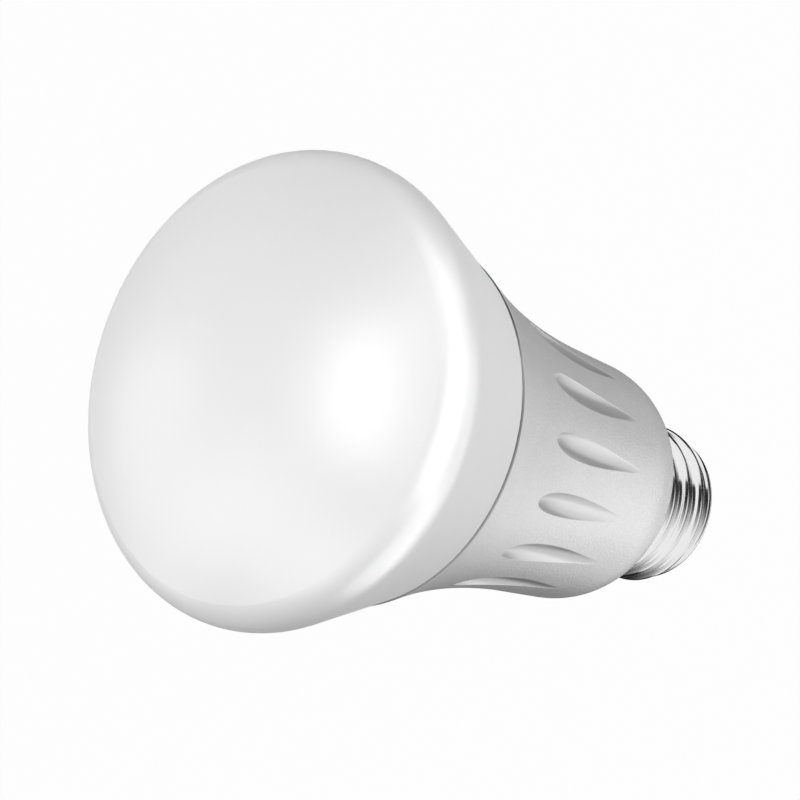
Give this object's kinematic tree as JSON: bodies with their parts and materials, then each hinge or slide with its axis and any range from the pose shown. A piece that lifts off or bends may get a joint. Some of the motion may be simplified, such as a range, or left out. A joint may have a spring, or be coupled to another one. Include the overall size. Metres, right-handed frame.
{
  "type": "reflector bulb",
  "caption": "Reflector lamp bulb with a domed opal diffuser, a flared satin silver housing with teardrop scoops round its waist, and a screw cap with a round thread.",
  "frame": {"origin": "middle of the tip contact's flat face, at the bottom of the screw cap", "axes": "+Z along the bulb's axis from the screw cap to the domed face; +X through the middle of one scoop"},
  "size_m": [0.08, 0.08, 0.1203],
  "materials": {
    "opal_plastic": "glossy opal white moulding",
    "satin_silver": "fine satin silver grain",
    "plated_shell": "bright nickel plating",
    "black_insulator": "smooth black insulating moulding",
    "contact_metal": "plain tinned metal"
  },
  "bodies": {
    "root": {"diffuser": "opal_plastic", "housing": "satin_silver", "screw_shell": "plated_shell", "cap_insulator": "black_insulator", "tip_contact": "contact_metal"}
  },
  "joints": []
}
